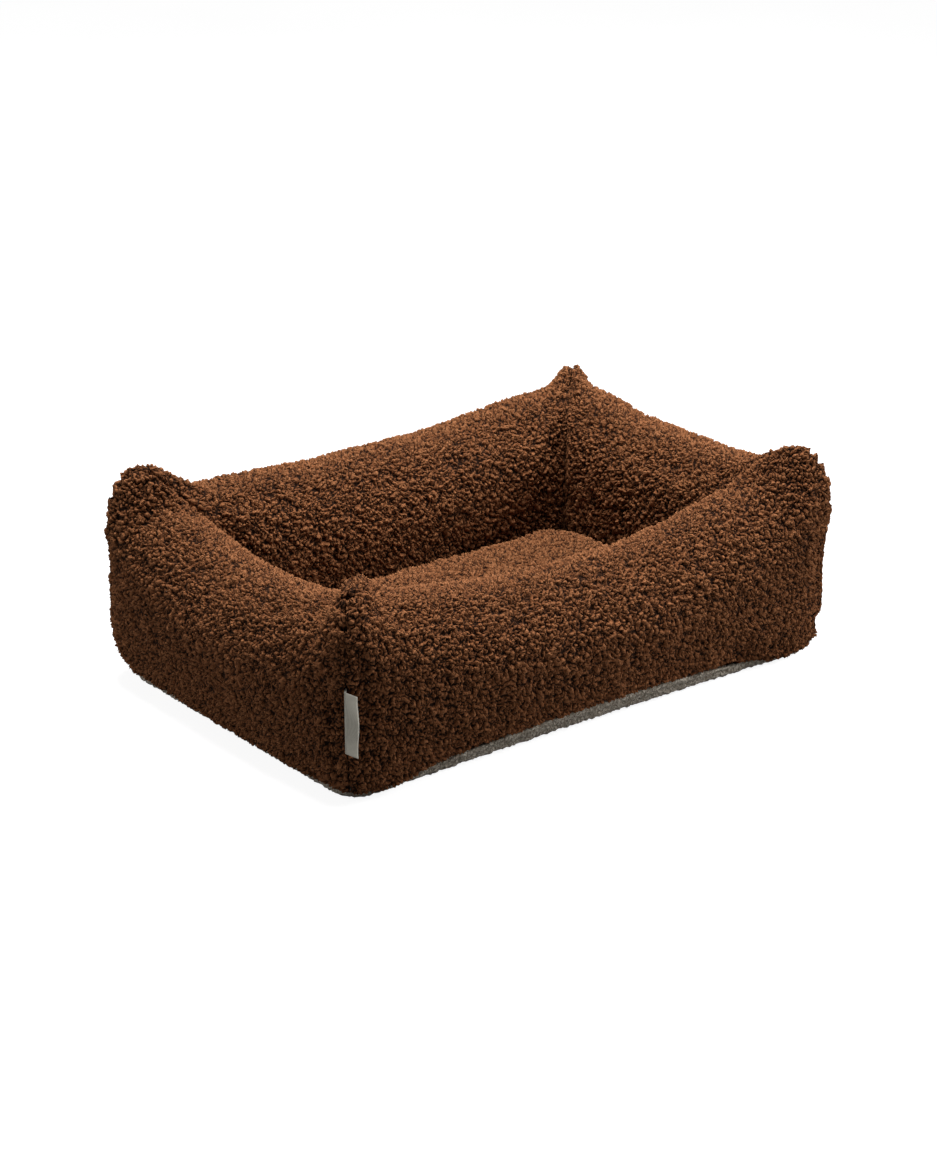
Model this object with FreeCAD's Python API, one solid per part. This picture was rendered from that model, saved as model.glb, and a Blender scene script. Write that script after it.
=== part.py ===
import FreeCAD, Part
import math
import os

# Bolster bed for a small dog or cat, in millimetres.
#
# Four stuffed bolster walls stand on a quilted base panel and meet at mitred corners whose seams
# rise into pointed ears. A loose cushion lies in the well between them. Each wall is a boucle cover
# over a cotton bag of fibre. Two zips in the base panel open the long walls, and a zip in the
# cushion's underside opens the cushion. Every zip has its own tapes, coils, stops, slider and pull.
#
# The origin is at the middle of the footprint on the floor, +X runs along the long sides, +Y points
# to the back and +Z up.

Vector = FreeCAD.Vector

# ---- Driving dimensions ------------------------------------------------------------------------
bed_length = 600.0          # outside, corner seam to corner seam, along X
bed_width = 400.0           # outside, corner seam to corner seam, along Y
corner_height = 210.0       # floor to the tip of a corner ear
wall_height = 182.0         # floor to the top of a wall at its middle
wall_thickness = 90.0       # outside face to inside face at a corner
side_bulge = 9.0            # how far a wall's outside bows past the corner seams
well_bulge = 5.0            # how far a wall's inside bows into the well
foot_inset = 13.0           # how far the lower seam lies inside the wall's outside face
inner_foot_inset = 5.0      # and inside its inside face

boucle = 5.0                # thickness of the curly pile fabric
lining = 0.8                # thickness of the cotton bags
wadding = 3.0               # thickness of the quilting in the base
floor_lining = 1.0          # thickness of the cotton floor under the cushion
stuffing_gap = 0.5          # clearance between a cover, its bag and its fill
base_corner_radius = 24.0
base_edge_radius = 4.0      # rounding of the base's lower edge
base_rim = 5.0              # width of the rim that the walls are sewn to
lip_rise = 13.0             # how far the base fabric climbs the long walls at their middle
lip_share = 0.80            # share of the wall's length that the climbing fabric spans
floor_lining_gap = 1.0      # from the floor lining's edge to the foot of a wall

cushion_side_gap = 3.0      # from the cushion to the wall inside it at its widest
cushion_height = 66.0
cushion_corner_radius = 42.0
cushion_top_radius = 20.0
cushion_bottom_radius = 11.0
cushion_seam_height = 16.0  # from the cushion's underside to the seam around it
cushion_rest_gap = 0.3      # between the cushion and the floor lining

base_zip_length = 400.0     # chain length of each base zip
base_zip_inset = 48.0       # from the long outside face to the zip
cushion_zip_length = 260.0
cushion_zip_inset = 36.0    # from the cushion's back edge to its zip
tape_width = 14.0
tape_thickness = 0.6
coil_width = 2.4
coil_thickness = 2.0
chain_slit = 1.4            # between the two coils, where the slider's post runs
zip_slot_width = 13.0       # opening in the boucle around the coils
zip_end_room = 18.0         # length of slot past each end of the chain
tape_end_gap = 1.0          # from a tape's end to the end of its slot
slider_length = 11.0
slider_width = 9.0
wing_thickness = 0.8
slider_play = 0.25          # clearance between the slider and the chain
slider_start = 1.0          # from the chain's closed end to the slider
post_share = 0.4            # share of the slider's length that its post takes, up to the pull's bar
pocket_gap = 0.3            # from a slider's inner wing to the bag above it
post_thickness = 0.9
bail_width = 3.0            # between the legs that hold the pull's bar
bail_leg = 0.7
bail_radius = 0.4           # of the bar that the pull turns on
bail_drop = 0.8             # from the slider's outer wing to the bar's axis
pull_length = 20.0          # from the bar's axis to the pull's tip
pull_width = 6.0
pull_thickness = 0.8
pull_neck = 2.4             # width of the pull beside its eye
pull_hole = 2.0             # radius of the hole in the pull
pull_neck_share = 0.25      # share of the pull's length that its neck takes
eye_play = 0.05             # clearance between the pull's eye and its bar
eye_gap = 0.12              # from the eye to the slider's outer wing
stop_length = 2.4

label_height = 60.0         # sewn-in label, along the seam
label_reach = 14.0          # how far it stands out of the seam
label_thickness = 1.0       # two layers of woven tape
label_bottom = 58.0         # floor to the label's lower end
label_tail = 9.0            # from the fold at the seam's mouth to its sewn-in end
label_fold_depth = 1.5      # from both outside faces to that fold
label_clearance = 0.3
label_lean = 20.0           # degrees between the label and the front face

# ---- Levels that follow from them --------------------------------------------------------------
wall_base = boucle + wadding
floor_top = wall_base + floor_lining
cushion_base = floor_top + cushion_rest_gap
cushion_top = cushion_base + cushion_height
zip_pocket = tape_thickness + slider_play + wing_thickness + pocket_gap   # room above a zip's panel
cushion_half_length = bed_length / 2 - wall_thickness - well_bulge - cushion_side_gap
cushion_half_width = bed_width / 2 - wall_thickness - well_bulge - cushion_side_gap


def export(shape, node):
    """Writes one named piece and reports what it holds."""
    if not shape.isValid():
        raise ValueError(node + " is not a valid solid")
    os.makedirs("parts", exist_ok=True)
    shape.exportStep("parts/" + node + ".step")
    box = shape.BoundBox
    print("%-26s %d solid(s) %10.0f mm3  z %.1f to %.1f" % (
        node, len(shape.Solids), shape.Volume, box.ZMin, box.ZMax))


def prism(outline, low, high):
    """An upright solid over a closed outline of (x, y) points."""
    corners = [Vector(x, y, low) for x, y in outline]
    wire = Part.makePolygon(corners + [corners[0]])
    return Part.Face(wire).extrude(Vector(0, 0, high - low))


def block(x_low, x_high, y_low, y_high, z_low, z_high):
    size = (x_high - x_low, y_high - y_low, z_high - z_low)
    return Part.makeBox(*size, Vector(x_low, y_low, z_low))


# ---- Bolster walls -----------------------------------------------------------------------------
def middle_profile(bow_out, bow_in):
    """A wall's cross-section away from the corners, as (depth from the outside face, height share)."""
    t = wall_thickness
    return [
        (foot_inset, 0.0), (4 - 0.5 * bow_out, 0.09), (-0.9 * bow_out, 0.28), (-bow_out, 0.50),
        (1 - 0.4 * bow_out, 0.73), (12, 0.90), (28, 0.98), (0.5 * t, 1.0),
        (t - 27, 0.98), (t - 11, 0.89), (t - 1 + 0.4 * bow_in, 0.72), (t + bow_in, 0.48),
        (t - 1 + 0.8 * bow_in, 0.22), (t - inner_foot_inset, 0.0),
    ]


def ear_profile():
    """The cross-section on a corner's mitre plane, where the seams rise to a point."""
    t = wall_thickness
    return [
        (foot_inset + 3, 0.0), (8, 0.08), (4, 0.27), (3, 0.48),
        (5, 0.68), (11, 0.85), (20, 0.96), (31, 1.0),
        (43, 0.975), (56, 0.89), (t - 19, 0.76), (t - 8, 0.54),
        (t - 4, 0.27), (t - 7, 0.0),
    ]


# (place along the half length, share of the mitre's slant, share of the ear's shape)
wall_stations = [(0.0, 0.0, 0.0), (0.42, 0.18, 0.0), (0.70, 0.48, 0.07), (0.89, 0.83, 0.30), (1.0, 1.0, 1.0)]
end_margin = 6.0            # raw walls run this far past the mitre planes before they are trimmed
floor_margin = 6.0          # and this far below their lowest level


def profile_at(place, ear_share):
    """Points (depth, height) of the section at a place from -1 to 1 along a wall."""
    bow = 1 - place * place
    middle = middle_profile(side_bulge * bow, well_bulge * bow)
    points = []
    for (depth, rise), (ear_depth, ear_rise) in zip(middle, ear_profile()):
        z = wall_base + rise * (wall_height - wall_base)
        ear_z = wall_base + ear_rise * (corner_height - wall_base)
        points.append((depth + (ear_depth - depth) * ear_share, z + (ear_z - z) * ear_share))
    return points


def chord_parameters(points):
    """Running length along the points, from 0 to 1, shared by all sections so that lofts stay light."""
    total = [0.0]
    for a, b in zip(points, points[1:]):
        total.append(total[-1] + math.dist(a, b))
    return [length / total[-1] for length in total]


section_parameters = chord_parameters(profile_at(0.0, 0.0))


def inset_profile(points, inset):
    """The same section moved inwards by inset, along its own normals."""
    curve = Part.BSplineCurve()
    curve.interpolate(Points=[Vector(d, z, 0) for d, z in points], Parameters=section_parameters)
    moved = []
    for (depth, z), parameter in zip(points, section_parameters):
        tangent = curve.tangent(parameter)[0]
        moved.append((depth + inset * tangent.y, z - inset * tangent.x))
    return moved


def wall_loft(half_length, half_width, inset):
    """A front wall's raw solid, inset from its outside, past its mitres and below its base."""
    wires = []
    last = wall_stations[-1]
    beyond = (last[0], last[1], last[2], end_margin)
    stations = [station + (0.0,) for station in wall_stations] + [beyond]
    both_sides = [(-1, s) for s in reversed(stations[1:])] + [(1, s) for s in stations]
    for side, (place, slant, ear_share, extra) in both_sides:
        points = inset_profile(profile_at(place, ear_share), inset)
        first, last_point = points[0], points[-1]
        below = wall_base - floor_margin
        path = [
            Vector(side * (place * half_length - slant * depth + extra), depth - half_width, z)
            for depth, z in points
        ]
        curve = Part.BSplineCurve()
        curve.interpolate(Points=path, Parameters=section_parameters)
        feet = [
            Vector(side * (place * half_length - slant * depth + extra), depth - half_width, below)
            for depth in (last_point[0], first[0])
        ]
        edges = [curve.toShape(), Part.makeLine(path[-1], feet[0]), Part.makeLine(feet[0], feet[1]),
                 Part.makeLine(feet[1], path[0])]
        wires.append(Part.Wire(edges))
    return Part.makeLoft(wires, True, False)


def wall_room(half_length, half_width, low, end_gap):
    """The upright space between a front wall's two mitre planes, above a level."""
    out = 40.0
    deep = wall_thickness + 16.0
    corner = half_length - end_gap * math.sqrt(2)
    outline = [(-corner - out, -half_width - out), (corner + out, -half_width - out),
               (corner - deep, -half_width + deep), (-corner + deep, -half_width + deep)]
    return prism(outline, low, corner_height + 40)


def turned(shape, angle):
    copy = shape.copy()
    copy.rotate(Vector(0, 0, 0), Vector(0, 0, 1), angle)
    return copy


def climbing_fabric():
    """The arched space low on the front wall's outside where the base fabric shows."""
    reach = lip_share * bed_length / 2
    left, right = Vector(-reach, 0, wall_base), Vector(reach, 0, wall_base)
    top = Vector(0, 0, wall_base + lip_rise)
    face = Part.Face(Part.Wire([Part.Arc(left, top, right).toShape(), Part.makeLine(right, left)]))
    face.translate(Vector(0, -bed_width / 2 - 2 * side_bulge, 0))
    return face.extrude(Vector(0, 2 * side_bulge + 2 * foot_inset, 0))


def bolster(half_length, half_width):
    """The cover, bag and fill of a wall that lies along X at the front."""
    bag_inset = boucle + stuffing_gap
    fill_inset = bag_inset + lining + stuffing_gap
    bag_hollow = bag_inset + lining

    def layer(inset, end_gap):
        room = wall_room(half_length, half_width, wall_base + end_gap, end_gap)
        return wall_loft(half_length, half_width, inset).common(room)

    cover = layer(0.0, 0.0).cut(wall_loft(half_length, half_width, boucle))
    bag = layer(bag_inset, stuffing_gap).cut(layer(bag_hollow, stuffing_gap + lining))
    fill = layer(fill_inset, 2 * stuffing_gap + lining)
    return {"cover": cover, "inner_bag": bag, "fill": fill}


# ---- Base --------------------------------------------------------------------------------------
def rounded_plate(half_length, half_width, radius, low, high):
    plate = block(-half_length, half_length, -half_width, half_width, low, high)
    upright = [e for e in plate.Edges if abs(e.Vertexes[0].Z - e.Vertexes[1].Z) > 0.5 * (high - low)]
    return plate.makeFillet(radius, upright)


def edges_at(shape, level):
    """The edges that lie flat at one level."""
    return [e for e in shape.Edges if all(abs(v.Z - level) < 1e-6 for v in e.Vertexes)]


def zip_slot(length, y, width, low, high):
    """The long opening around a zip along X, between two levels."""
    reach = length / 2 + zip_end_room
    return block(-reach, reach, y - width / 2, y + width / 2, low, high)


def base(lips):
    """The panel under the bed with its sewn-on rim, the quilting in it and the cotton floor."""
    half_length = bed_length / 2 - foot_inset
    half_width = bed_width / 2 - foot_inset
    panel = rounded_plate(half_length, half_width, base_corner_radius, 0, wall_base)
    panel = panel.makeFillet(base_edge_radius, edges_at(panel, 0))
    tray = [half_length - base_rim, half_width - base_rim, base_corner_radius - base_rim]
    wadding_pad = rounded_plate(*tray, boucle, wall_base)
    panel = panel.cut(wadding_pad)
    pocket_width = chain_slit + 2 * tape_width + 2 * tape_end_gap
    for y in base_zip_places.values():
        panel = panel.cut(zip_slot(base_zip_length, y, zip_slot_width, -1, boucle + 1))
        wadding_pad = wadding_pad.cut(zip_slot(base_zip_length, y, pocket_width, 0, wall_base + 1))
    foot = wall_thickness - inner_foot_inset + floor_lining_gap
    floor = rounded_plate(bed_length / 2 - foot, bed_width / 2 - foot, floor_lining_gap,
                          wall_base, floor_top)
    panel = panel.multiFuse(lips).removeSplitter()
    return {"base_panel": panel, "base_wadding": wadding_pad, "base_floor_lining": floor}


# ---- Cushion -----------------------------------------------------------------------------------
def pad(inset, low_inset):
    """The cushion's space, inset from its outside and by low_inset from its underside."""
    low, high = cushion_base + low_inset, cushion_top - inset
    shape = rounded_plate(cushion_half_length - inset, cushion_half_width - inset,
                          cushion_corner_radius - inset, low, high)
    shape = shape.makeFillet(cushion_top_radius - inset, edges_at(shape, high))
    return shape.makeFillet(cushion_bottom_radius - inset, edges_at(shape, low))


def cushion():
    """The cushion's cover in two panels, its cotton bag and its fill."""
    bag_inset = boucle + stuffing_gap
    bag_low = boucle + zip_pocket
    cover = pad(0, 0).cut(pad(boucle, boucle))
    seam = cushion_base + cushion_seam_height
    reach = cushion_half_length + 10
    lower = block(-reach, reach, -reach, reach, cushion_base - 1, seam)
    bottom = cover.common(lower)
    bottom = bottom.cut(zip_slot(cushion_zip_length, cushion_zip_y, zip_slot_width,
                                 cushion_base - 1, cushion_base + boucle + 1))
    bag = pad(bag_inset, bag_low).cut(pad(bag_inset + lining, bag_low + lining))
    fill_inset = bag_inset + lining + stuffing_gap
    fill = pad(fill_inset, bag_low + lining + stuffing_gap)
    return {"cushion_cover_top": cover.cut(lower), "cushion_cover_bottom": bottom,
            "cushion_inner_bag": bag, "cushion_fill": fill}


# ---- Zips --------------------------------------------------------------------------------------
base_zip_places = {
    "front_zip": -(bed_width / 2 - base_zip_inset),
    "back_zip": bed_width / 2 - base_zip_inset,
}
cushion_zip_y = cushion_half_width - cushion_zip_inset


def span(y, side, near, far):
    """The lowest and highest Y of a strip that lies from near to far on one side of y."""
    return sorted((y + side * near, y + side * far))


def zip_parts(length, y, outward, panel_low):
    """A closed zip along X, sewn over a slot in a boucle panel whose underside is at panel_low."""
    half = length / 2
    slit = chain_slit / 2
    panel_top = panel_low + boucle
    seat = panel_top - coil_thickness
    tape_end = half + zip_end_room - tape_end_gap
    parts = {}
    for side, name in ((outward, "outer"), (-outward, "inner")):
        parts[name + "_tape"] = block(-tape_end, tape_end, *span(y, side, slit, slit + tape_width),
                                      panel_top, panel_top + tape_thickness)
        parts[name + "_coil"] = block(-half, half, *span(y, side, slit, slit + coil_width),
                                      seat, panel_top)
    # A bar is clamped across both coils' line just past each end of the chain.
    stop_low = half + slider_play
    bars = [block(x, x + stop_length, *span(y, 1, -slit - coil_width, slit + coil_width),
                  seat, panel_top) for x in (-stop_low - stop_length, stop_low)]
    parts["stops"] = Part.makeCompound(bars)

    # The slider's two wings hold the coils and tapes between them, and its post parts the coils.
    x_low = -half + slider_start
    x_high = x_low + slider_length
    outer_top = seat - slider_play
    wing_low = outer_top - wing_thickness
    inner_low = panel_top + tape_thickness + slider_play
    wing_span = span(y, 1, -slider_width / 2, slider_width / 2)
    wing = block(x_low, x_high, *wing_span, wing_low, outer_top)
    inner_wing = block(x_low, x_high, *wing_span, inner_low, inner_low + wing_thickness)
    post = block(x_low, x_low + post_share * slider_length,
                 *span(y, 1, -post_thickness / 2, post_thickness / 2), wing_low, inner_low)
    pieces = [inner_wing, post]
    for side in (-1, 1):
        rim = span(y, side, slit + coil_width + slider_play, slider_width / 2)
        pieces.append(block(x_low, x_high, *rim, wing_low, panel_top - 2 * slider_play))

    # Two legs under the outer wing hold the bar that the pull's eye turns on.
    pivot = Vector(x_low + post_share * slider_length, y, wing_low - bail_drop)
    along = Vector(0, 1, 0)
    bar_reach = bail_width / 2 + 0.5 * bail_leg
    pieces.append(Part.makeCylinder(bail_radius, 2 * bar_reach, pivot - along * bar_reach, along))
    for side in (-1, 1):
        leg = span(y, side, bail_width / 2, bail_width / 2 + bail_leg)
        pieces.append(block(pivot.x - bail_radius, pivot.x + bail_radius, *leg,
                            pivot.z - bail_radius, outer_top))
    parts["slider"] = wing.multiFuse(pieces).removeSplitter()
    parts["pull"] = zip_pull(pivot)
    return parts


def zip_pull(pivot):
    """A flat pull that lies along +X from the bar it turns on."""
    half_thick = pull_thickness / 2
    eye_reach = pull_neck / 2
    along = Vector(0, 1, 0)
    eye_radius = bail_drop - eye_gap
    start = pivot - along * eye_reach
    eye = Part.makeCylinder(eye_radius, 2 * eye_reach, start, along)
    neck_end = pivot.x + pull_neck_share * pull_length
    neck = block(pivot.x, neck_end, *span(pivot.y, 1, -eye_reach, eye_reach),
                 pivot.z - half_thick, pivot.z + half_thick)
    leaf = block(neck_end - 1, pivot.x + pull_length, *span(pivot.y, 1, -pull_width / 2, pull_width / 2),
                 pivot.z - half_thick, pivot.z + half_thick)
    upright = [e for e in leaf.Edges if abs(e.Vertexes[0].Z - e.Vertexes[1].Z) > 0.5 * pull_thickness]
    leaf = leaf.makeFillet(0.35 * pull_width, upright)
    hole_centre = Vector(pivot.x + pull_length - 1.6 * pull_hole, pivot.y, pivot.z - pull_thickness)
    hole = Part.makeCylinder(pull_hole, 2 * pull_thickness, hole_centre, Vector(0, 0, 1))
    bore = Part.makeCylinder(bail_radius + eye_play, 2 * pull_width, pivot - along * pull_width, along)
    return eye.multiFuse([neck, leaf]).cut(hole).cut(bore)


# ---- Label -------------------------------------------------------------------------------------
def side_label(clearance):
    """A folded woven label sewn into the front left corner seam, grown by a clearance."""
    corner = Vector(-bed_length / 2 + label_fold_depth, -bed_width / 2 + label_fold_depth, 0)
    inward = Vector(1, 1, 0).normalize()
    lean = math.radians(label_lean)
    outward = Vector(math.cos(lean), -math.sin(lean), 0)
    low = label_bottom - clearance
    rise = label_height + 2 * clearance
    half_thick = label_thickness / 2 + clearance
    pieces = []
    for direction, reach in ((inward, label_tail + clearance), (outward, label_reach)):
        across = Vector(-direction.y, direction.x, 0) * half_thick
        ends = [corner - across, corner + direction * reach - across,
                corner + direction * reach + across, corner + across]
        pieces.append(prism([(p.x, p.y) for p in ends], low, low + rise))
    fold = Part.makeCylinder(half_thick, rise, corner + Vector(0, 0, low))
    return fold.multiFuse(pieces).removeSplitter()


# ---- The bed -----------------------------------------------------------------------------------
long_wall = bolster(bed_length / 2, bed_width / 2)
short_wall = bolster(bed_width / 2, bed_length / 2)
arch = climbing_fabric()
lip = long_wall["cover"].common(arch)
trimmed = dict(long_wall, cover=long_wall["cover"].cut(arch))
walls = {"front": (trimmed, 0), "right": (short_wall, 90), "back": (trimmed, 180),
         "left": (short_wall, 270)}

nodes = {}
for place, (layers, angle) in walls.items():
    for layer_name, shape in layers.items():
        nodes[place + "_wall_" + layer_name] = turned(shape, angle)

nodes["side_label"] = side_label(0)
for place in ("front", "left"):
    for layer_name in ("cover", "inner_bag", "fill"):
        node = place + "_wall_" + layer_name
        nodes[node] = nodes[node].cut(side_label(label_clearance))

nodes.update(base([turned(lip, 0), turned(lip, 180)]))
nodes.update(cushion())

zips = [(name, base_zip_length, y, math.copysign(1, y), 0.0) for name, y in base_zip_places.items()]
zips.append(("cushion_zip", cushion_zip_length, cushion_zip_y, 1, cushion_base))
for name, length, y, outward, panel_low in zips:
    for part_name, shape in zip_parts(length, y, outward, panel_low).items():
        nodes[name + "_" + part_name] = shape

for node, shape in nodes.items():
    export(shape, node)
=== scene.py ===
import bpy
import bmesh
import math
from mathutils import Matrix, Vector


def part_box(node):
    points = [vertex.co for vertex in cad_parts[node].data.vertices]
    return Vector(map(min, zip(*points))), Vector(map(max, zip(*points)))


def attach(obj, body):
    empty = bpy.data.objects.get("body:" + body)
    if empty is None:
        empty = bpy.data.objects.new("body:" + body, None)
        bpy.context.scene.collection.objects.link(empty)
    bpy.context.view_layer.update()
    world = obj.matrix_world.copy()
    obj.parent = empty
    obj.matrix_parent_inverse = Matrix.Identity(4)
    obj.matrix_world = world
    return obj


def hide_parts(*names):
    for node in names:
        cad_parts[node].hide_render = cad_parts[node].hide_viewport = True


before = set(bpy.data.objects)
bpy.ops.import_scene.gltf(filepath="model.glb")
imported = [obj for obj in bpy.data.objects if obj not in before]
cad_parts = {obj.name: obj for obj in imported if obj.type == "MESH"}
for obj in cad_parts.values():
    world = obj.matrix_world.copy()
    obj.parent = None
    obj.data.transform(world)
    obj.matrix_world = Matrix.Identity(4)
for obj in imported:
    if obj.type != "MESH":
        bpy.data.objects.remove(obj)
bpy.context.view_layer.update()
print("frame loaded:", len(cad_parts), "nodes")

mm = 0.001
scene = bpy.context.scene


def link(obj):
    scene.collection.objects.link(obj)
    return obj


def objectFrom(bm, name):
    mesh = bpy.data.meshes.new(name)
    bm.to_mesh(mesh)
    bm.free()
    return link(bpy.data.objects.new(name, mesh))


def pieceName(node):
    # front_wall_fill becomes frontWallFill
    first, *others = node.split("_")
    return first + "".join(word.capitalize() for word in others)


def copyOfNodes(name, *nodeNames):
    # a welded copy of CAD nodes in one mesh, as a starting shape for a soft piece
    bm = bmesh.new()
    for nodeName in nodeNames:
        bm.from_mesh(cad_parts[nodeName].data)
    bmesh.ops.remove_doubles(bm, verts=bm.verts, dist=1e-6)
    return objectFrom(bm, name)


def bake(piece):
    # turns the piece's modifiers into its own mesh
    evaluated = piece.evaluated_get(bpy.context.evaluated_depsgraph_get())
    mesh = bpy.data.meshes.new_from_object(evaluated)
    piece.modifiers.clear()
    piece.data = mesh
    mesh.name = piece.name
    return piece


def remesh(piece, voxel):
    mod = piece.modifiers.new("voxels", "REMESH")
    mod.mode = "VOXEL"
    mod.voxel_size = voxel
    mod.use_smooth_shade = True
    return bake(piece)


def smoothstep(low, high, value):
    t = min(max((value - low) / (high - low), 0.0), 1.0)
    return t * t * (3 - 2 * t)


def moveVerts(piece, rule):
    # rule takes a vertex's place and normal and gives its new place
    mesh = piece.data
    places = [rule(v.co.copy(), v.normal.copy()) for v in mesh.vertices]
    mesh.vertices.foreach_set("co", [c for p in places for c in p])
    mesh.update()


def smoothMesh(piece, rounds, strength=0.5):
    mod = piece.modifiers.new("smooth", "SMOOTH")
    mod.iterations = rounds
    mod.factor = strength
    return bake(piece)


def addNode(tree, kind, **settings):
    node = tree.nodes.new(kind)
    for key, value in settings.items():
        setattr(node, key, value)
    return node


def plug(tree, source, socket):
    if hasattr(source, "is_output"):
        tree.links.new(source, socket)
    else:
        socket.default_value = source


def calc(tree, operation, a, b=0.0, c=None):
    node = addNode(tree, "ShaderNodeMath", operation=operation)
    plug(tree, a, node.inputs[0])
    plug(tree, b, node.inputs[1])
    if c is not None:
        plug(tree, c, node.inputs[2])
    return node.outputs[0]


def vectorCalc(tree, operation, a, b=None, scale=None):
    node = addNode(tree, "ShaderNodeVectorMath", operation=operation)
    plug(tree, a, node.inputs[0])
    if b is not None:
        plug(tree, b, node.inputs[1])
    if scale is not None:
        plug(tree, scale, node.inputs["Scale"])
    return node.outputs[0]


def ramp(tree, value, low, high, outLow=0.0, outHigh=1.0):
    node = addNode(tree, "ShaderNodeMapRange", interpolation_type="SMOOTHSTEP")
    for socket, source in zip(node.inputs, (value, low, high, outLow, outHigh)):
        plug(tree, source, socket)
    return node.outputs[0]


def perSize(tree, size):
    # a texture's scale from the size of its pattern, given as a number or a socket
    return 1 / size if isinstance(size, float) else calc(tree, "DIVIDE", 1.0, size)


def noise(tree, vector, size, detail=2.0, roughness=0.5, output="Fac"):
    node = addNode(tree, "ShaderNodeTexNoise")
    plug(tree, vector, node.inputs["Vector"])
    plug(tree, perSize(tree, size), node.inputs["Scale"])
    node.inputs["Detail"].default_value = detail
    node.inputs["Roughness"].default_value = roughness
    return node.outputs[output]


def warped(tree, vector, size, amount):
    # a place pushed about by noise, so that cells turn into curls
    push = vectorCalc(tree, "SUBTRACT", noise(tree, vector, size, 1.0, output="Color"), (0.5, 0.5, 0.5))
    return vectorCalc(tree, "ADD", vector, vectorCalc(tree, "SCALE", push, scale=amount))


def newGroup(name, kind, sockets):
    tree = bpy.data.node_groups.new(name, kind)
    for inOut, socketName, socketType, value in sockets:
        socket = tree.interface.new_socket(socketName, in_out=inOut, socket_type=socketType)
        if value is not None:
            socket.default_value = value
    return tree, addNode(tree, "NodeGroupInput"), addNode(tree, "NodeGroupOutput")


pile = {
    "curl": 4.2 * mm,         # size of one curl of yarn
    "clump": 9.0 * mm,        # size of the tufts that curls gather in
    "height": 5.0 * mm,       # from the bottom of a crevice to the top of a curl
    "lump": 1.6 * mm,         # slow unevenness of the pile
    "mesh": 1.4 * mm,         # spacing of the finished mesh
    "seamReach": 7.0 * mm,    # the pile is pressed down within this distance of a corner seam
    "floor": 0.3 * mm,        # nothing goes below this level
    "level": 0.6,             # share of the height that lies on the cloth's own surface
    "lumpLength": 45 * mm,    # from one lump of the pile to the next
    "fineShare": 0.45,        # size of the fine loops as a share of a curl
}
napLevels = {                 # for the tufts, the curls on them and the fine loops on those
    "tuft": {"crease": 0.26, "depth": 0.55},
    "knob": {"crease": 0.34, "depth": 0.70},
    "fine": {"crease": 0.40, "depth": 0.35},
}
cornerSeam = Vector((0.300, 0.200, 0.0))     # from the middle of the bed


def billow(tree, place, size, width):
    # rounded lumps of about the given size with thin winding creases between them
    signed = calc(tree, "MULTIPLY_ADD", noise(tree, place, size, 0.0), 2.0, -1.0)
    return ramp(tree, calc(tree, "ABSOLUTE", signed), 0.0, width)


def napField(tree, place, curl, clump):
    # height of the pile from 0 in a crevice to 1 on top of a curl, the same in geometry and in shaders
    loose = warped(tree, place, calc(tree, "MULTIPLY", clump, 0.5), calc(tree, "MULTIPLY", clump, 0.5))
    bent = warped(tree, place, calc(tree, "MULTIPLY", curl, 0.7), calc(tree, "MULTIPLY", curl, 0.6))
    fineSize = calc(tree, "MULTIPLY", curl, pile["fineShare"])
    crest = 1.0
    for name, where, size in (("tuft", loose, clump), ("knob", bent, curl), ("fine", bent, fineSize)):
        level = napLevels[name]
        lumps = billow(tree, where, size, level["crease"])
        height = calc(tree, "MULTIPLY_ADD", lumps, level["depth"], 1 - level["depth"])
        crest = calc(tree, "MULTIPLY", crest, height)
    return crest


def seamDistance(tree, place):
    # how far a place is from the upright mitre planes that the four walls meet on
    split = addNode(tree, "ShaderNodeSeparateXYZ")
    plug(tree, place, split.inputs[0])
    x, y = (calc(tree, "ABSOLUTE", split.outputs[axis]) for axis in ("X", "Y"))
    side = calc(tree, "SUBTRACT", calc(tree, "SUBTRACT", x, y), cornerSeam.x - cornerSeam.y)
    return calc(tree, "MULTIPLY", calc(tree, "ABSOLUTE", side), math.sqrt(0.5))


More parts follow.
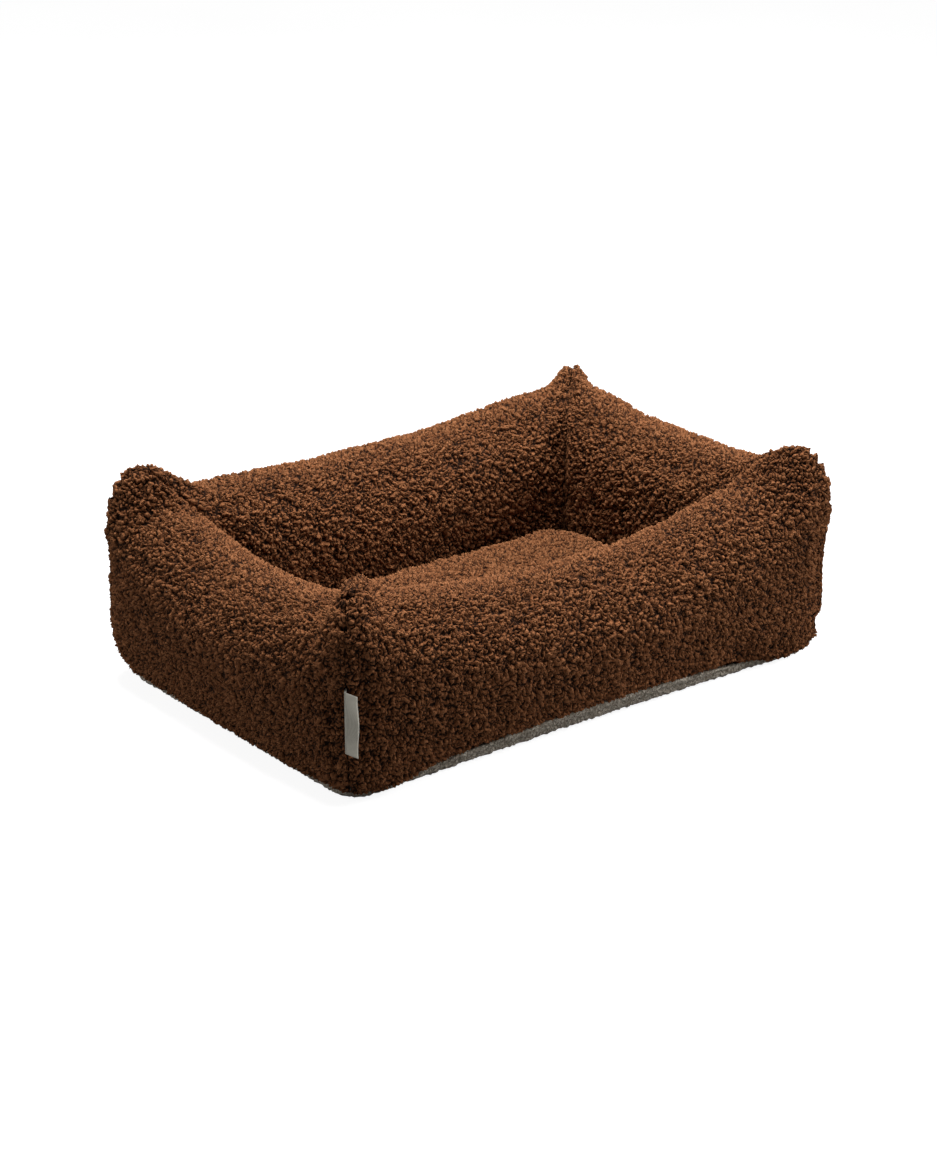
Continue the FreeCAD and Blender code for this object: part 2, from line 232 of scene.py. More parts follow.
def pileRelief():
    tree, start, end = newGroup("boucleRelief", "GeometryNodeTree", [
        ("INPUT", "Geometry", "NodeSocketGeometry", None),
        ("INPUT", "Curl", "NodeSocketFloat", pile["curl"]),
        ("INPUT", "Clump", "NodeSocketFloat", pile["clump"]),
        ("INPUT", "Height", "NodeSocketFloat", pile["height"]),
        ("INPUT", "Lump", "NodeSocketFloat", pile["lump"]),
        ("INPUT", "Seam", "NodeSocketFloat", 0.0),
        ("OUTPUT", "Geometry", "NodeSocketGeometry", None),
    ])
    tree.is_modifier = True
    place = addNode(tree, "GeometryNodeInputPosition").outputs[0]
    normal = addNode(tree, "GeometryNodeInputNormal").outputs[0]
    nap = napField(tree, place, start.outputs["Curl"], start.outputs["Clump"])
    lift = calc(tree, "MULTIPLY", calc(tree, "SUBTRACT", nap, pile["level"]), start.outputs["Height"])
    lump = calc(tree, "SUBTRACT", noise(tree, place, pile["lumpLength"], 1.0), 0.5)
    lift = calc(tree, "MULTIPLY_ADD", lump, calc(tree, "MULTIPLY", start.outputs["Lump"], 3.0), lift)
    free = ramp(tree, seamDistance(tree, place), 0.4 * mm, pile["seamReach"])
    pressed = calc(tree, "MULTIPLY", start.outputs["Seam"], calc(tree, "SUBTRACT", 1.0, free))
    lift = calc(tree, "MULTIPLY", lift, calc(tree, "SUBTRACT", 1.0, pressed))
    geometry = start.outputs["Geometry"]
    for label, kind, value in (("nap", "FLOAT", nap), ("pilePlace", "FLOAT_VECTOR", place)):
        store = addNode(tree, "GeometryNodeStoreNamedAttribute", data_type=kind, domain="POINT")
        plug(tree, geometry, store.inputs["Geometry"])
        store.inputs["Name"].default_value = label
        plug(tree, value, store.inputs["Value"])
        geometry = store.outputs[0]
    moved = vectorCalc(tree, "ADD", place, vectorCalc(tree, "SCALE", normal, scale=lift))
    moved = vectorCalc(tree, "MAXIMUM", moved, (-10.0, -10.0, pile["floor"]))
    move = addNode(tree, "GeometryNodeSetPosition")
    plug(tree, geometry, move.inputs["Geometry"])
    plug(tree, moved, move.inputs["Position"])
    plug(tree, move.outputs[0], end.inputs["Geometry"])
    return tree


boucleRelief = pileRelief()


def addPile(piece, **settings):
    # settings hold this piece's own values of what pile holds, and its share of seam
    values = {**pile, "seam": 0.0, **settings}
    remesh(piece, values["mesh"])
    smoothMesh(piece, 4)
    mod = piece.modifiers.new("pile", "NODES")
    mod.node_group = boucleRelief
    for item in boucleRelief.interface.items_tree:
        if item.in_out == "INPUT" and item.name.lower() in values:
            mod[item.identifier] = values[item.name.lower()]
    bake(piece)
    piece.data.shade_smooth()
    return piece


def newMaterial(name, **uniform):
    # uniform holds Principled sockets that are the same all over
    material = bpy.data.materials.new(name)
    material.use_nodes = True
    tree = material.node_tree
    shader = tree.nodes["Principled BSDF"]
    for socket, value in uniform.items():
        shader.inputs[socket.replace("_", " ")].default_value = value
    place = addNode(tree, "ShaderNodeTexCoord").outputs["Object"]
    return material, tree, shader, place


def colourRamp(tree, value, stops):
    node = addNode(tree, "ShaderNodeValToRGB")
    while len(node.color_ramp.elements) < len(stops):
        node.color_ramp.elements.new(0.5)
    for element, (position, colour) in zip(node.color_ramp.elements, stops):
        element.position = position
        element.color = (*colour, 1.0)
    plug(tree, value, node.inputs["Fac"])
    return node.outputs["Color"]


def bump(tree, shader, height, distance, strength=1.0):
    node = addNode(tree, "ShaderNodeBump")
    node.inputs["Strength"].default_value = strength
    node.inputs["Distance"].default_value = distance
    plug(tree, height, node.inputs["Height"])
    plug(tree, node.outputs["Normal"], shader.inputs["Normal"])


def curledYarnGroup():
    # the pile's curls and its yarn's fibres, down to what the mesh is too coarse for
    tree, start, end = newGroup("curledYarn", "ShaderNodeTree", [
        ("INPUT", "Vector", "NodeSocketVector", None),
        ("INPUT", "Curl", "NodeSocketFloat", pile["curl"]),
        ("INPUT", "Clump", "NodeSocketFloat", pile["clump"]),
        ("OUTPUT", "Nap", "NodeSocketFloat", None),
        ("OUTPUT", "Height", "NodeSocketFloat", None),
        ("OUTPUT", "Tint", "NodeSocketFloat", None),
    ])
    place = start.outputs["Vector"]
    nap = napField(tree, place, start.outputs["Curl"], start.outputs["Clump"])
    fibre = noise(tree, place, 0.7 * mm, 2.0)
    plug(tree, nap, end.inputs["Nap"])
    plug(tree, calc(tree, "MULTIPLY_ADD", fibre, 0.16, nap), end.inputs["Height"])
    plug(tree, noise(tree, place, 22 * mm, 3.0), end.inputs["Tint"])
    return tree


curledYarn = curledYarnGroup()


def boucleMaterial(name, creviceShade, side, top, **uniform):
    material, tree, shader, place = newMaterial(name, **uniform)
    place = addNode(tree, "ShaderNodeAttribute", attribute_name="pilePlace").outputs["Vector"]
    yarn = addNode(tree, "ShaderNodeGroup", node_tree=curledYarn)
    plug(tree, place, yarn.inputs["Vector"])
    nap = calc(tree, "SUBTRACT", yarn.outputs["Nap"], 0.1)
    level = calc(tree, "MULTIPLY_ADD", yarn.outputs["Tint"], 0.2, nap)
    # the colour follows the pile's height: the crevice colour is painted shade, nearly black, the top colour
    # is a painted highlight on the curls, and the tint is the yarn's own uneven tone
    colour = colourRamp(tree, level, [(0.20, creviceShade), (0.50, side), (0.92, top)])
    plug(tree, colour, shader.inputs["Base Color"])
    bump(tree, shader, yarn.outputs["Height"], 2.8 * mm)
    return material


# in both bouclés the crevice colour is painted shade in the pile's crevices and the top colour a painted
# highlight on its curls
brownBoucle = boucleMaterial(
    "brownBoucle", creviceShade=(0.008, 0.0027, 0.0011), side=(0.165, 0.059, 0.022), top=(0.25, 0.102, 0.042),
    Roughness=0.95, Sheen_Weight=0.10, Sheen_Roughness=0.5, Sheen_Tint=(0.6, 0.3, 0.16, 1),
    Specular_IOR_Level=0.08)
greigeBoucle = boucleMaterial(
    "greigeBoucle", creviceShade=(0.30, 0.255, 0.20), side=(0.52, 0.45, 0.37), top=(0.70, 0.63, 0.53),
    Roughness=0.95, Sheen_Weight=0.10, Sheen_Roughness=0.5, Sheen_Tint=(0.8, 0.75, 0.68, 1),
    Specular_IOR_Level=0.08)


def plainWeaveGroup():
    # crossing threads on faces that look along X, Y or Z, with slubs that make some threads paler
    tree, start, end = newGroup("plainWeave", "ShaderNodeTree", [
        ("INPUT", "Vector", "NodeSocketVector", None),
        ("INPUT", "Thread", "NodeSocketFloat", 0.5 * mm),
        ("OUTPUT", "Height", "NodeSocketFloat", None),
        ("OUTPUT", "Slub", "NodeSocketFloat", None),
    ])
    split = addNode(tree, "ShaderNodeSeparateXYZ")
    plug(tree, start.outputs["Vector"], split.inputs[0])
    turns = calc(tree, "DIVIDE", math.pi, start.outputs["Thread"])
    waves = [calc(tree, "SINE", calc(tree, "MULTIPLY", output, turns)) for output in split.outputs]
    total = 0.0
    for one, other in ((0, 1), (1, 2), (2, 0)):
        total = calc(tree, "MULTIPLY_ADD", waves[one], waves[other], total)
    plug(tree, calc(tree, "MULTIPLY_ADD", total, 0.4, 0.5), end.inputs["Height"])
    stretched = vectorCalc(tree, "MULTIPLY", start.outputs["Vector"], (1.0, 6.0, 6.0))
    plug(tree, noise(tree, stretched, 9 * mm, 3.0), end.inputs["Slub"])
    return tree


plainWeave = plainWeaveGroup()


def wovenMaterial(name, dark, pale, thread, relief, **uniform):
    material, tree, shader, place = newMaterial(name, **uniform)
    weave = addNode(tree, "ShaderNodeGroup", node_tree=plainWeave)
    plug(tree, place, weave.inputs["Vector"])
    weave.inputs["Thread"].default_value = thread
    slub = calc(tree, "MULTIPLY", weave.outputs["Slub"], 0.4)
    level = calc(tree, "MULTIPLY_ADD", weave.outputs["Height"], 0.6, slub)
    # the colour follows the weave's height, with painted shade between the threads, and the slubs add a
    # paler tone of their own
    plug(tree, colourRamp(tree, level, [(0.2, dark), (0.75, pale)]), shader.inputs["Base Color"])
    bump(tree, shader, weave.outputs["Height"], relief)
    return material


cottonWeave = wovenMaterial("cottonWeave", (0.50, 0.45, 0.36), (0.74, 0.70, 0.61), 0.55 * mm, 0.12 * mm,
                            Roughness=0.9, Specular_IOR_Level=0.2)
tapeWeave = wovenMaterial("tapeWeave", (0.020, 0.010, 0.006), (0.075, 0.036, 0.021), 0.7 * mm, 0.15 * mm,
                          Roughness=0.8, Specular_IOR_Level=0.25)
labelWeave = wovenMaterial("labelWeave", (0.34, 0.32, 0.265), (0.52, 0.495, 0.425), 0.45 * mm, 0.1 * mm,
                           Roughness=0.75, Specular_IOR_Level=0.3, Sheen_Weight=0.1)


def fibreMaterial(name, dark, pale):
    # loose polyester fibre: long soft strands with hollows between them
    material, tree, shader, place = newMaterial(name, Roughness=0.9, Sheen_Weight=0.3, Sheen_Roughness=0.4)
    stretched = vectorCalc(tree, "MULTIPLY", warped(tree, place, 12 * mm, 9 * mm), (1.0, 3.0, 2.0))
    strand = noise(tree, stretched, 3 * mm, 4.0, 0.65)
    # the colour follows the strands, with painted shade in the hollows between them
    plug(tree, colourRamp(tree, strand, [(0.25, dark), (0.65, pale)]), shader.inputs["Base Color"])
    bump(tree, shader, strand, 1.2 * mm)
    return material


looseFibre = fibreMaterial("looseFibre", (0.60, 0.58, 0.53), (0.84, 0.83, 0.79))
feltedFibre = fibreMaterial("feltedFibre", (0.54, 0.52, 0.47), (0.76, 0.74, 0.69))


def wornEdgeGroup():
    # scuffs where handling rubs a finish off, and the fine scratches around them
    tree, start, end = newGroup("handlingWear", "ShaderNodeTree", [
        ("INPUT", "Vector", "NodeSocketVector", None),
        ("INPUT", "Scuff", "NodeSocketFloat", 2.0 * mm),
        ("OUTPUT", "Worn", "NodeSocketFloat", None),
        ("OUTPUT", "Scratch", "NodeSocketFloat", None),
    ])
    place = start.outputs["Vector"]
    patch = noise(tree, place, start.outputs["Scuff"], 4.0, 0.65)
    plug(tree, ramp(tree, patch, 0.56, 0.68), end.inputs["Worn"])
    streaks = vectorCalc(tree, "MULTIPLY", place, (1.0, 9.0, 9.0))
    plug(tree, noise(tree, streaks, 1.5 * mm, 3.0), end.inputs["Scratch"])
    return tree


handlingWear = wornEdgeGroup()


def rubbedMaterial(name, finish, rubbed, smooth, rough, scuff, **uniform):
    # a hard finish that has rubbed through in places
    material, tree, shader, place = newMaterial(name, **uniform)
    wear = addNode(tree, "ShaderNodeGroup", node_tree=handlingWear)
    plug(tree, place, wear.inputs["Vector"])
    wear.inputs["Scuff"].default_value = scuff
    colour = colourRamp(tree, wear.outputs["Worn"], [(0.0, finish), (1.0, rubbed)])
    plug(tree, colour, shader.inputs["Base Color"])
    plug(tree, ramp(tree, wear.outputs["Scratch"], 0.3, 0.7, smooth, rough), shader.inputs["Roughness"])
    bump(tree, shader, wear.outputs["Scratch"], 0.05 * mm, 0.5)
    return material


lacqueredMetal = rubbedMaterial("lacqueredMetal", (0.060, 0.036, 0.024), (0.30, 0.24, 0.19), 0.28, 0.5,
                                2.0 * mm, Metallic=0.85, Coat_Weight=0.3, Coat_Roughness=0.2)
nylonCoil = rubbedMaterial("nylonCoil", (0.040, 0.021, 0.013), (0.10, 0.062, 0.043), 0.32, 0.5,
                           3.0 * mm, Specular_IOR_Level=0.5)


def dress(piece, material):
    piece.data.materials.clear()
    piece.data.materials.append(material)


def inflate(piece, pressure, swell, sink=1 * mm, frames=20):
    # blows the piece up like a stuffed bag: no point moves out by more than swell or in by more than sink
    rest = [(v.co.copy(), v.normal.copy()) for v in piece.data.vertices]
    mod = piece.modifiers.new("cloth", "CLOTH")
    settings = mod.settings
    settings.quality = 5
    settings.mass = 0.3
    settings.use_pressure = True
    settings.uniform_pressure_force = pressure
    settings.effector_weights.gravity = 0
    mod.point_cache.frame_start = 1
    mod.point_cache.frame_end = frames
    for number in range(1, frames + 1):
        scene.frame_set(number)
    blown = piece.evaluated_get(bpy.context.evaluated_depsgraph_get()).data
    moved = [v.co.copy() for v in blown.vertices]
    piece.modifiers.clear()
    for v, (before, normal), after in zip(piece.data.vertices, rest, moved):
        step = after - before
        out = step.dot(normal)
        step += normal * (min(max(out, -sink), swell) - out)
        if step.length > swell:
            step = step * (swell / step.length)
        v.co = before + step
    piece.data.update()
    scene.frame_set(1)
    return piece


walls = {
    "startVoxel": 5 * mm,     # mesh spacing while the wall is a stuffed bag
    "pressure": 4.0,
    "swell": 4.0 * mm,        # most that the cloth may move
    "seamGap": 0.2 * mm,      # from a corner's mitre plane to the cover
    "floorGap": 2.4 * mm,     # lowest part of the cover above the floor
    "foot": 46 * mm,          # below this the cover sags towards the floor
    "loft": 0.035,            # share by which the pile and the stuffing raise the wall
    "earSwell": 5.0 * mm,     # how much fuller the gathered cloth makes an ear
    "earPush": 8.0 * mm,      # how far an ear's tip leans out to its corner
    "seamFade": 14 * mm,      # the ear is fuller only past this distance from the seam
    "zipRoom": 4.0 * mm,      # how far the underside is raised over a long wall's zip
    # how far the foot bulges over the base, and the crest has settled at its middle, wall by wall
    "sag": {"front": 5 * mm, "back": 5 * mm, "left": 0.0, "right": 3 * mm},
    "settled": {"front": 31 * mm, "left": 24 * mm, "back": 0.0, "right": -6 * mm},
    # how far a corner's lower half bulges out, its ear has risen, and the crest beside the ear has
    # risen, by the signs of the corner
    "belly": {(-1, -1): 0.0, (-1, 1): 5 * mm, (1, -1): 0.0, (1, 1): 0.0},
    "risen": {(-1, -1): -7 * mm, (-1, 1): 4 * mm, (1, -1): 4 * mm, (1, 1): -14 * mm},
    "slope": {(-1, -1): 0.0, (-1, 1): 3 * mm, (1, -1): 4 * mm, (1, 1): 11 * mm},
}
wallBands = {                 # where each change to a wall starts and where it is complete
    "earAlong": (0.72, 0.97),             # shares of the half length
    "slopeAlong": (0.15, 0.75),
    "bellyAlong": (0.4, 0.9),
    "earHeight": (100 * mm, 185 * mm),    # heights above the floor
    "crestHeight": (50 * mm, 180 * mm),
    "bellyFrom": (12 * mm, 40 * mm),
    "bellyTo": (80 * mm, 150 * mm),
    "footFrom": 8 * mm,
    "underside": (9 * mm, 24 * mm),
    "outside": (8 * mm, 26 * mm),         # depths from the outside face
    "zipFrom": (30 * mm, 40 * mm),
    "zipTo": (58 * mm, 68 * mm),
    "crestLength": 0.86,                  # share of the half length that settles
}
climbing = {
    "rise": 13 * mm,          # how far the base fabric climbs the long walls at their middle
    "share": 0.80,            # and the share of their length that it spans
    "tuck": 5.5 * mm,         # how far the cover steps back behind it
    "bulge": 2.5 * mm,        # how far it rounds out over the floor
    "puff": 4.5 * mm,         # how much its own filling lifts its edge
}
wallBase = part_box("front_wall_cover")[0].z


def wallFrame(place):
    # a wall's direction, its outward direction, and the half sizes along and across it
    quarter = {"front": 0, "right": 1, "back": 2, "left": 3}[place]
    turn = Matrix.Rotation(math.radians(90 * quarter), 3, "Z")
    halves = (cornerSeam.x, cornerSeam.y) if quarter % 2 == 0 else (cornerSeam.y, cornerSeam.x)
    return turn @ Vector((1, 0, 0)), turn @ Vector((0, -1, 0)), *halves


def climbAt(x):
    # 1 where the base fabric climbs highest up a long wall, 0 past its ends
    return max(0.0, 1 - (x / (climbing["share"] * cornerSeam.x)) ** 2)


def inBand(name, value):
    return smoothstep(*wallBands[name], value)


def earAt(share, z):
    return inBand("earAlong", share) * inBand("earHeight", z)


def settling(place, p, halfLength, x):
    # how far the stuffing lifts a point of a wall, and how far it pushes the point out
    corner = (round(math.copysign(1, p.x)), round(math.copysign(1, p.y)))
    middle = max(0.0, 1 - (x / (wallBands["crestLength"] * halfLength)) ** 2)
    share = abs(x) / halfLength
    slope = walls["slope"][corner] * inBand("slopeAlong", share)
    belly = walls["belly"][corner] * inBand("bellyAlong", share) * (1 - inBand("bellyTo", p.z))
    crest = (slope - walls["settled"][place] * middle) * inBand("crestHeight", p.z)
    return walls["risen"][corner] * earAt(share, p.z) + crest, belly


def makeWall(place):
    along, outward, halfLength, halfWidth = wallFrame(place)
    layers = [place + "_wall_" + layer for layer in ("cover", "inner_bag", "fill")]
    piece = copyOfNodes(place + "WallCover", *layers)
    remesh(piece, walls["startVoxel"])
    inflate(piece, walls["pressure"], walls["swell"])
    smoothMesh(piece, 1)
    isLong = halfLength > halfWidth

    def fit(p, n):
        # fills the ears, sags the foot over the base and keeps the wall inside its mitres
        x = p.dot(along)
        depth = halfWidth - p.dot(outward)
        toSeam = halfLength - depth - abs(x)
        ear = earAt(abs(x) / halfLength, p.z)
        p += n * (walls["earSwell"] * ear * smoothstep(0.0, walls["seamFade"], toSeam))
        x = p.dot(along) + math.copysign(walls["earPush"] * ear, x)
        depth = halfWidth - p.dot(outward) - walls["earPush"] * ear
        outer = 1 - inBand("outside", depth)
        lift, belly = settling(place, p, halfLength, x)
        depth -= belly * outer * inBand("bellyFrom", p.z)
        climb = climbAt(x) if isLong else 0.0
        low = outer * (1 - smoothstep(wallBands["footFrom"], walls["foot"], p.z))
        free = 1 - smoothstep(0.0, 0.5, climb)
        depth -= walls["sag"][place] * low * free
        z = p.z * (1 + walls["loft"]) + lift - (wallBase - walls["floorGap"]) * low * free
        if isLong:
            overZip = inBand("zipFrom", depth) * (1 - inBand("zipTo", depth))
            z += walls["zipRoom"] * overZip * (1 - inBand("underside", p.z))
        top = wallBase + climbing["rise"] * climb
        depth += climbing["tuck"] * outer * (1 - free) * (1 - smoothstep(top - 2 * mm, top + 6 * mm, p.z))
        reach = halfLength - depth - walls["seamGap"] * math.sqrt(2)
        x = min(max(x, -reach), reach)
        return along * x + outward * (halfWidth - depth) + Vector((0, 0, z))

    moveVerts(piece, fit)
    return addPile(piece, seam=0.75)


def makeStuffing(place, layer, voxel, inset):
    # the cotton bag or the fibre in it, drawn in from the CAD shape by inset
    sources = {"inner_bag": ("inner_bag", "fill"), "fill": ("fill",)}[layer]
    piece = copyOfNodes(pieceName(place + "_" + layer), *[place + "_" + source for source in sources])
    remesh(piece, voxel)
    smoothMesh(piece, 2)
    wall = place.removesuffix("_wall")

    def drawIn(p, n):
        p = p - n * inset
        if wall in walls["settled"]:
            along, outward, halfLength, halfWidth = wallFrame(wall)
            p.z += min(0.0, settling(wall, p, halfLength, p.dot(along))[0])
        return p

    moveVerts(piece, drawIn)
    piece.data.shade_smooth()
    return piece


stuffing = {
    "inner_bag": {"voxel": 6 * mm, "inset": 3.5 * mm, "fill": 0.8,
                  "slot": "cotton_lining", "material": cottonWeave},
    "fill": {"voxel": 7 * mm, "inset": 6.0 * mm, "fill": 0.7,
             "slot": "fibre_fill", "material": looseFibre},
}


def addStuffing(place, body):
    for layer, values in stuffing.items():
        piece = makeStuffing(place, layer, values["voxel"], values["inset"])
        dress(piece, values["material"])
        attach(piece, body)
        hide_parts(place + "_" + layer)


for place in ("front", "back", "left", "right"):
    piece = makeWall(place)
    dress(piece, brownBoucle)
    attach(piece, "bed")
    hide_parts(place + "_wall_cover")
    addStuffing(place + "_wall", "bed")
    print("wall", place, len(piece.data.polygons))


cushionLook = {
    "startVoxel": 6 * mm,
    "pressure": 4.0,
    "swell": 8 * mm,
}


def makeCushionTop():
    bm = bmesh.new()
    bm.from_mesh(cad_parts["cushion_cover_top"].data)
    hull = bmesh.ops.convex_hull(bm, input=bm.verts)
    bmesh.ops.delete(bm, geom=hull["geom_interior"] + hull["geom_unused"], context="VERTS")
    piece = objectFrom(bm, "cushionTop")
    remesh(piece, cushionLook["startVoxel"])
    inflate(piece, cushionLook["pressure"], cushionLook["swell"])
    return addPile(piece)


cushionTop = makeCushionTop()
dress(cushionTop, brownBoucle)
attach(cushionTop, "cushion")
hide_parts("cushion_cover_top")

cushionBottom = addPile(copyOfNodes("cushionBottom", "cushion_cover_bottom"), mesh=2.5 * mm, height=2.0 * mm,
                        curl=3.2 * mm, clump=7.0 * mm, lump=0.4 * mm)
dress(cushionBottom, greigeBoucle)
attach(cushionBottom, "cushion")
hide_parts("cushion_cover_bottom")
addStuffing("cushion", "cushion")
print("cushion", len(cushionTop.data.polygons), len(cushionBottom.data.polygons))


def makeBase():
    piece = copyOfNodes("basePanel", "base_panel")
    remesh(piece, 2.2 * mm)
    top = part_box("base_panel")[1].z

    def roundOut(p, n):
        # the climbing fabric rounds out over the floor on both long sides
        edge = smoothstep(170 * mm, 184 * mm, abs(p.y))
        level = 1 - smoothstep(0.45 * top, top, p.z)
        p.y += math.copysign(climbing["bulge"] * edge * level * climbAt(p.x), p.y)
        p.z += climbing["puff"] * edge * climbAt(p.x)
        return p

    moveVerts(piece, roundOut)
    return addPile(piece, mesh=2.4 * mm, height=2.4 * mm, curl=3.4 * mm, clump=7.0 * mm, lump=0.4 * mm)


basePanel = makeBase()
dress(basePanel, greigeBoucle)
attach(basePanel, "bed")
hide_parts("base_panel")
print("base", len(basePanel.data.polygons))


floorLook = {
    "step": 4 * mm,           # spacing of the cloth's grid
    "pucker": 0.7 * mm,       # how much the cloth ripples
    "puckerLength": 38 * mm,
}


def makeFloorLining():
    # the cotton floor under the cushion, laid on the wadding and rippled a little
    low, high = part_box("base_floor_lining")
    size = high - low
    length = floorLook["puckerLength"]
    bm = bmesh.new()
    bmesh.ops.create_grid(bm, x_segments=round(size.x / floorLook["step"]),
                          y_segments=round(size.y / floorLook["step"]), size=0.5)
    bmesh.ops.scale(bm, verts=bm.verts, vec=(size.x, size.y, 1))
    for v in bm.verts:
        wave = math.sin(v.co.x / length * 2.1) * math.sin(v.co.y / length * 1.7)
        v.co.z = high.z - 0.2 * mm + floorLook["pucker"] * (0.5 * wave - 0.5)
    piece = objectFrom(bm, "floorLining")
    thickness = piece.modifiers.new("thickness", "SOLIDIFY")
    thickness.thickness = 0.3 * mm
    thickness.offset = -1
    bake(piece)
    piece.data.shade_smooth()
    return piece


floorLining = makeFloorLining()
dress(floorLining, cottonWeave)
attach(floorLining, "bed")
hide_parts("base_floor_lining")
print("floor lining ready")


label = {
    "height": 60 * mm,        # along the seam
    "reach": 12 * mm,         # out of the seam to the fold
    "tail": 9 * mm,           # sewn into the seam
    "layerGap": 0.35 * mm,    # between its two layers
    "thick": 0.3 * mm,
    "bottom": 58 * mm,
    "lean": 20,               # degrees between the label and the front wall
    "wave": 2.2 * mm,         # how much its free part curls
    "skew": 7.0 * mm,         # how far the fold has slid down along the seam
    "columns": 40,
    "rows": 40,
}


def makeLabel():
    # one strip of woven tape, folded at its free edge so that both ends are in the seam
    seam = Vector((-cornerSeam.x + 1.5 * mm, -cornerSeam.y + 1.5 * mm, 0))
    lean = math.radians(label["lean"])
    outward = Vector((math.cos(lean), -math.sin(lean), 0))
    inward = Vector((math.sqrt(0.5), math.sqrt(0.5), 0))
    half = label["reach"] + label["tail"]
    bm = bmesh.new()
    bmesh.ops.create_grid(bm, x_segments=label["columns"], y_segments=label["rows"], size=0.5)
    for v in bm.verts:
        across = v.co.x * 2 * half                        # from one sewn end to the other
        rise = (v.co.y + 0.5) * label["height"]
        side = math.copysign(1, across) * min(1.0, abs(across) / (0.8 * mm))
        out = label["reach"] - abs(across)                # from the seam to this point
        free = max(out, 0.0) / label["reach"]             # 0 in the seam, 1 at the fold
        layer = side * (0.5 * label["layerGap"] + 0.5 * label["thick"])
        curl = label["wave"] * free * (math.sin(rise / label["height"] * 7.5 + 0.6) - 0.3)
        droop = -label["skew"] * free
        direction = outward if out > 0 else inward
        across2d = Vector((-direction.y, direction.x, 0))
        v.co = seam + direction * abs(out) + across2d * (layer + curl)
        v.co.z = label["bottom"] + rise + droop
    piece = objectFrom(bm, "sideLabel")
    thickness = piece.modifiers.new("thickness", "SOLIDIFY")
    thickness.thickness = label["thick"]
    thickness.offset = 0
    bake(piece)
    piece.data.shade_smooth()
    return piece


sideLabel = makeLabel()
dress(sideLabel, labelWeave)
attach(sideLabel, "bed")
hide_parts("side_label")
print("label ready")


coil = {
    "wire": 0.55 * mm,        # thickness of the nylon filament
    "pitch": 1.6 * mm,        # from one turn to the next
    "turnPoints": 8,
}


def makeCoil(node):
    # a zip's coil: one filament wound in flat turns along X inside the CAD strip
    low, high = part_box(node)
    middle = (low + high) / 2
    half = (high - low) / 2 - Vector((1, 1, 1)) * coil["wire"] / 2
    turns = round(2 * half.x / coil["pitch"])
    count = turns * coil["turnPoints"]
    curve = bpy.data.curves.new(pieceName(node), "CURVE")
    curve.dimensions = "3D"
    curve.bevel_depth = coil["wire"] / 2
    curve.bevel_resolution = 0
    curve.use_fill_caps = True
    spline = curve.splines.new("POLY")
    spline.points.add(count - 1)
    for number, point in enumerate(spline.points):
        angle = 2 * math.pi * number / coil["turnPoints"]
        along = -half.x + 2 * half.x * number / (count - 1)
        point.co = (middle.x + along, middle.y + half.y * math.cos(angle),
                    middle.z + half.z * math.sin(angle), 1)
    holder = link(bpy.data.objects.new(curve.name + "Curve", curve))
    mesh = bpy.data.meshes.new_from_object(holder.evaluated_get(bpy.context.evaluated_depsgraph_get()))
    bpy.data.objects.remove(holder)
    mesh.name = curve.name
    mesh.shade_smooth()
    return link(bpy.data.objects.new(curve.name, mesh))


for zipName, body in (("front_zip", "bed"), ("back_zip", "bed"), ("cushion_zip", "cushion")):
    for side in ("outer", "inner"):
        node = zipName + "_" + side + "_coil"
        piece = makeCoil(node)
        dress(piece, nylonCoil)
        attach(piece, body)
        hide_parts(node)
print("zip coils ready")


def refinish(node, material):
    # a better material on a CAD node that keeps its shape
    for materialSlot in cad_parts[node].material_slots:
        materialSlot.material = material


for zipName in ("front_zip", "back_zip", "cushion_zip"):
    for part in ("outer_tape", "inner_tape"):
        refinish(zipName + "_" + part, tapeWeave)
    for part in ("stops", "slider", "pull"):
        refinish(zipName + "_" + part, lacqueredMetal)
refinish("base_wadding", feltedFibre)
print("CAD nodes refinished")


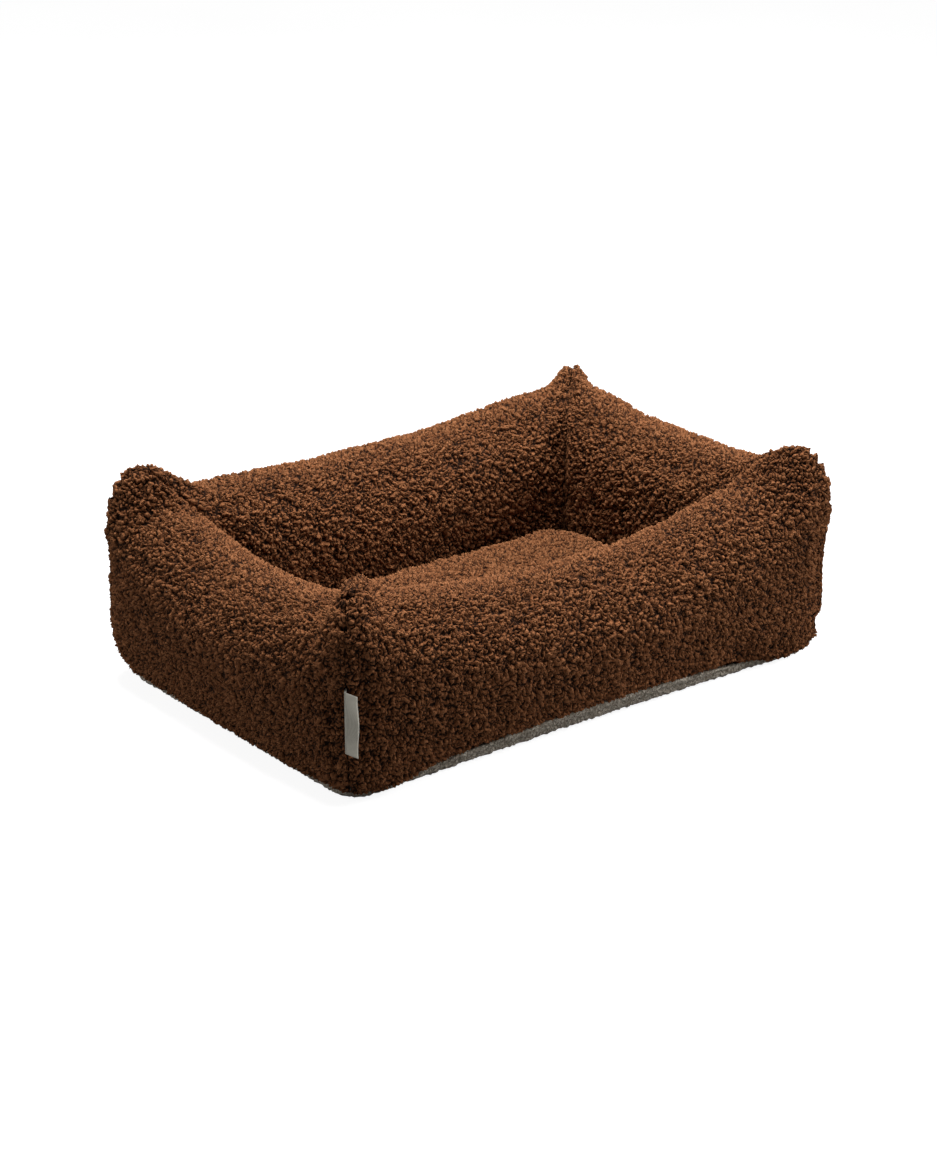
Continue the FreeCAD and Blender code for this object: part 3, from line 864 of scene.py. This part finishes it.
def makeStage():
    bm = bmesh.new()
    bmesh.ops.create_grid(bm, x_segments=1, y_segments=1, size=6.0)
    floor = objectFrom(bm, "floor")
    material, tree, shader, place = newMaterial("paleFloor", Roughness=0.9, Specular_IOR_Level=0.0,
                                                Emission_Color=(1, 1, 1, 1))
    tone = noise(tree, place, 0.5, 2.0)
    plug(tree, colourRamp(tree, tone, [(0.3, (0.28, 0.28, 0.28)), (0.7, (0.32, 0.32, 0.32))]),
         shader.inputs["Base Color"])
    seen = addNode(tree, "ShaderNodeLightPath").outputs["Is Camera Ray"]
    plug(tree, calc(tree, "MULTIPLY", seen, 0.9), shader.inputs["Emission Strength"])
    dress(floor, material)


def addLamp(name, place, target, size, power):
    light = bpy.data.lights.new(name, "AREA")
    light.shape = "DISK"
    light.size = size
    light.energy = power
    lamp = link(bpy.data.objects.new(name, light))
    lamp.location = place
    lamp.rotation_euler = (Vector(target) - Vector(place)).to_track_quat("-Z", "Y").to_euler()


view = {
    "azimuth": -38.0,         # degrees, from the front towards the left
    "elevation": 21.9,
    "target": (-0.046, -0.053, 0.111),
    "distance": 2.95,
    "lens": 93.9,
    "sensor": 36.0,           # height of the sensor, in the lens's millimetres
}
room = 0.16                   # brightness of the room that lights the object


def makeCamera():
    azimuth, elevation = math.radians(view["azimuth"]), math.radians(view["elevation"])
    back = Vector((math.sin(azimuth) * math.cos(elevation), -math.cos(azimuth) * math.cos(elevation),
                   math.sin(elevation)))
    camera = bpy.data.cameras.new("camera")
    camera.sensor_fit = "VERTICAL"
    camera.sensor_height = view["sensor"]
    camera.lens = view["lens"]
    obj = link(bpy.data.objects.new("camera", camera))
    obj.location = Vector(view["target"]) + back * view["distance"]
    obj.rotation_euler = (-back).to_track_quat("-Z", "Y").to_euler()
    scene.camera = obj


def makeWorld():
    # the camera sees plain white, and the object a dimmer room
    world = bpy.data.worlds.new("world")
    world.use_nodes = True
    tree = world.node_tree
    seen = addNode(tree, "ShaderNodeLightPath").outputs["Is Camera Ray"]
    background = tree.nodes["Background"]
    background.inputs["Color"].default_value = (1, 1, 1, 1)
    plug(tree, calc(tree, "MULTIPLY_ADD", seen, 1 - room, room), background.inputs["Strength"])
    scene.world = world


makeStage()
addLamp("softTop", (0.1, 0.1, 1.9), (0, 0, 0), 1.2, 75)
addLamp("leftSide", (-1.4, 1.2, 0.4), (-0.2, 0, 0.1), 0.5, 8)
addLamp("rightSide", (1.3, -0.85, 0.8), (0.1, 0, 0.1), 0.7, 21)
makeCamera()
makeWorld()
scene.view_settings.view_transform = "Standard"
print("stage ready")
